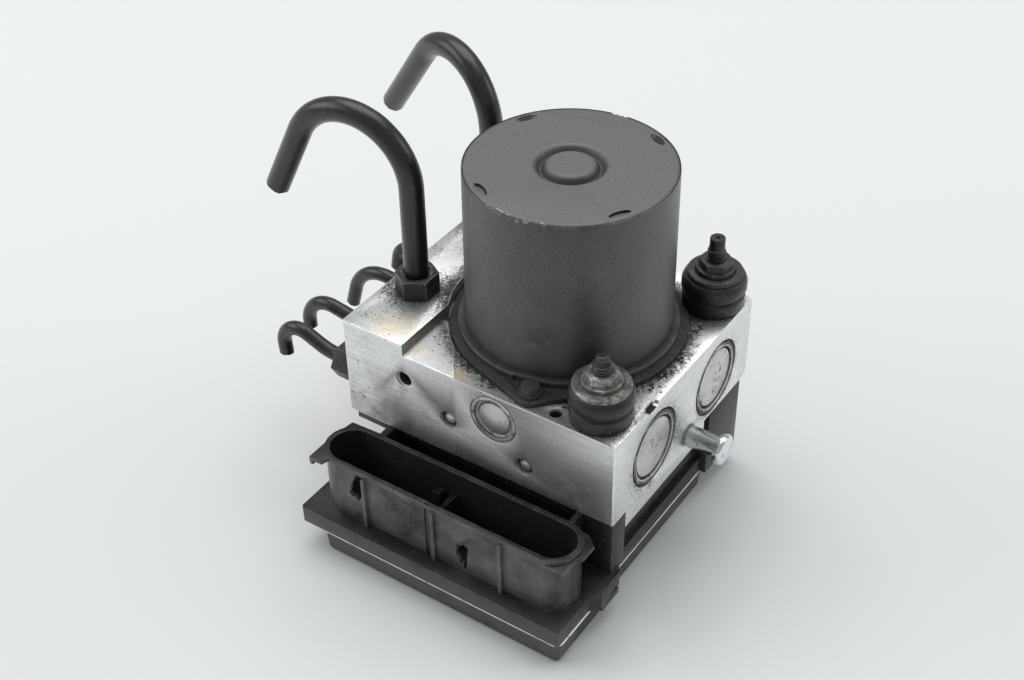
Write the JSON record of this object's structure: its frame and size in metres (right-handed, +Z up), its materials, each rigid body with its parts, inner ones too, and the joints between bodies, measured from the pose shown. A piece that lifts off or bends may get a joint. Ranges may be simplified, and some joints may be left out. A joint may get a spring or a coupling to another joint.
{
  "type": "abs brake module",
  "caption": "Brake pressure modulator: milled valve block with a round pump motor, cut-off brake pipes and rubber-bushed studs, on a black control unit with an open connector socket.",
  "frame": {"origin": "on the pump motor axis, in the plane of the control unit cover on which the module rests", "axes": "+Z up along the motor axis, +X along the long side of the valve block away from the brake pipes, so the connector is on the -Y side"},
  "size_m": [0.1557, 0.1172, 0.1299],
  "materials": {
    "block_aluminium": "milled, stained and dirty",
    "bare_steel": "bright",
    "motor_plate_steel": "dark, dusty",
    "motor_can_finish": "dark grey matte passivated, worn",
    "bearing_steel": "ground",
    "magnet_ferrite": "sintered ferrite, dull",
    "dark_plastic": "moulded",
    "carbon": "pressed carbon",
    "copper": "bare copper",
    "rusty_steel": "rusted",
    "shaft_steel": "ground",
    "lamination_steel": "stamped laminations",
    "plug_steel": "turned, dull",
    "spring_steel": "drawn wire",
    "cap_aluminium": "turned, dull",
    "seal_rubber": "moulded",
    "zinc_plated_steel": "zinc plated, bright streaks",
    "bush_rubber": "dusty black rubber",
    "worn_steel": "dirty, bright at worn edges",
    "stud_steel": "dark phosphated thread",
    "coated_pipe": "dark blue-black coating with a soft sheen",
    "dark_steel": "dark corroded",
    "housing_plastic": "black moulded plastic, grey dust",
    "seam_aluminium": "bright edge",
    "board_laminate": "green laminate",
    "tinned_copper": "tinned"
  },
  "bodies": {
    "module": {"accumulator_cap_front": "cap_aluminium", "accumulator_cap_rear": "cap_aluminium", "accumulator_spring_front": "spring_steel", "accumulator_spring_rear": "spring_steel", "brush_holder": "dark_plastic", "brushes": "carbon", "bush_sleeves": "bare_steel", "carrier_frame": "seam_aluminium", "circuit_board": "board_laminate", "connector_pins": "tinned_copper", "ecu_cover": "housing_plastic", "ecu_housing": "housing_plastic", "gallery_balls": "bare_steel", "headed_pin": "zinc_plated_steel", "housing_screws": "bare_steel", "inlet_nut_front": "dark_steel", "inlet_nut_rear": "dark_steel", "inlet_pipe_front": "coated_pipe", "inlet_pipe_rear": "coated_pipe", "lower_bearing": "bearing_steel", "motor_can": "motor_can_finish", "motor_end_plate": "motor_plate_steel", "motor_leads": "copper", "motor_magnets": "magnet_ferrite", "motor_screws": "rusty_steel", "mounting_stud_front": "stud_steel", "mounting_stud_rear": "stud_steel", "outlet_nuts": "dark_steel", "outlet_pipe_1": "coated_pipe", "outlet_pipe_2": "coated_pipe", "outlet_pipe_3": "coated_pipe", "outlet_pipe_4": "coated_pipe", "pump_cylinders": "shaft_steel", "pump_plug_front": "plug_steel", "pump_plug_rear": "plug_steel", "pump_spring_front": "spring_steel", "pump_spring_rear": "spring_steel", "rubber_bush_front": "bush_rubber", "rubber_bush_rear": "bush_rubber", "solenoid_coils": "dark_plastic", "stud_nuts": "worn_steel", "stud_washers": "worn_steel", "upper_bearing": "bearing_steel", "valve_block": "block_aluminium", "valve_cartridges": "plug_steel"},
    "rotor": {"rotor_shaft": "shaft_steel", "armature": "lamination_steel", "armature_winding": "copper", "commutator": "copper"},
    "needle_ring": {"cam_ring": "bearing_steel"},
    "plunger_front": {"pump_plunger_front": "shaft_steel"},
    "plunger_rear": {"pump_plunger_rear": "shaft_steel"},
    "piston_front": {"accumulator_piston_front": "cap_aluminium", "accumulator_seal_front": "seal_rubber"},
    "piston_rear": {"accumulator_piston_rear": "cap_aluminium", "accumulator_seal_rear": "seal_rubber"}
  },
  "joints": [
    {"name": "rotor_spin", "type": "hinge", "parent": "module", "child": "rotor", "pos_m": [0, 0, 0.0555], "axis": [0, 0, 1], "continuous": true},
    {"name": "needle_ring_spin", "type": "hinge", "parent": "rotor", "child": "needle_ring", "pos_m": [0.0008, 0, 0.0555], "axis": [0, 0, 1], "continuous": true},
    {"name": "plunger_front_slide", "type": "slide", "parent": "module", "child": "plunger_front", "axis": [0, -1, 0], "range_m": [0, 0.0016], "stiffness_N_per_m": 3000, "deforming": ["pump_spring_front"]},
    {"name": "plunger_rear_slide", "type": "slide", "parent": "module", "child": "plunger_rear", "axis": [0, 1, 0], "range_m": [0, 0.0016], "stiffness_N_per_m": 3000, "deforming": ["pump_spring_rear"]},
    {"name": "piston_front_slide", "type": "slide", "parent": "module", "child": "piston_front", "axis": [1, 0, 0], "range_m": [0, 0.005], "stiffness_N_per_m": 2000, "deforming": ["accumulator_spring_front"]},
    {"name": "piston_rear_slide", "type": "slide", "parent": "module", "child": "piston_rear", "axis": [1, 0, 0], "range_m": [0, 0.005], "stiffness_N_per_m": 2000, "deforming": ["accumulator_spring_rear"]}
  ],
  "couplings": [
    {"joint": "needle_ring_spin", "follows": "rotor_spin", "ratio": -1}
  ]
}
